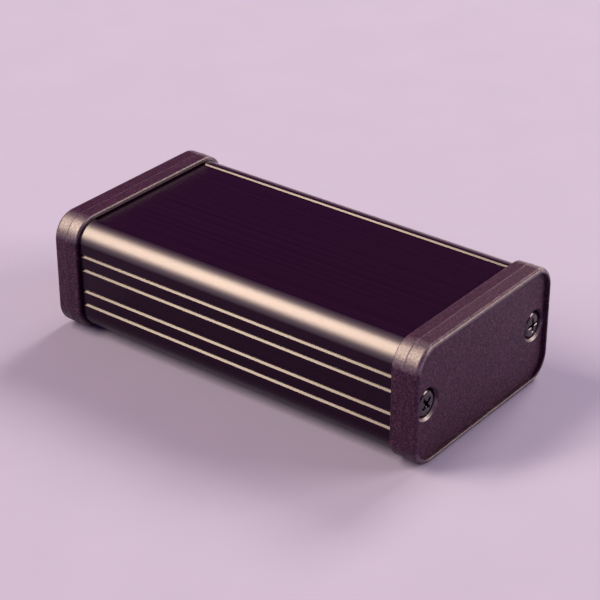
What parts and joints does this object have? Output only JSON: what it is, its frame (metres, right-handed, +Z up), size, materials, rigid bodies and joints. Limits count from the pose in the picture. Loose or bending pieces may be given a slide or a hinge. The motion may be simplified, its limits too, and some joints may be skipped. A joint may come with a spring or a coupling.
{
  "type": "extruded aluminium enclosure",
  "caption": "Small black anodised aluminium tube case with moulded end panels, slots for a circuit board inside and pan-head screws at each end.",
  "frame": {"origin": "under the middle of the case, level with the undersides of the two end panels' rims", "axes": "+X along the extrusion to the end panel that the picture shows in full, +Y to the long side away from the camera, +Z up"},
  "size_m": [0.088, 0.045, 0.025],
  "materials": {
    "anodised_aluminium": "satin black anodised, fine die lines along its length",
    "panel_plastic": "matt black, fine moulded texture",
    "screw_steel": "blackened steel, semi-gloss"
  },
  "bodies": {
    "root": {"case_body": "anodised_aluminium", "end_panel_right": "panel_plastic", "end_panel_left": "panel_plastic", "panel_screws": "screw_steel"}
  },
  "joints": []
}
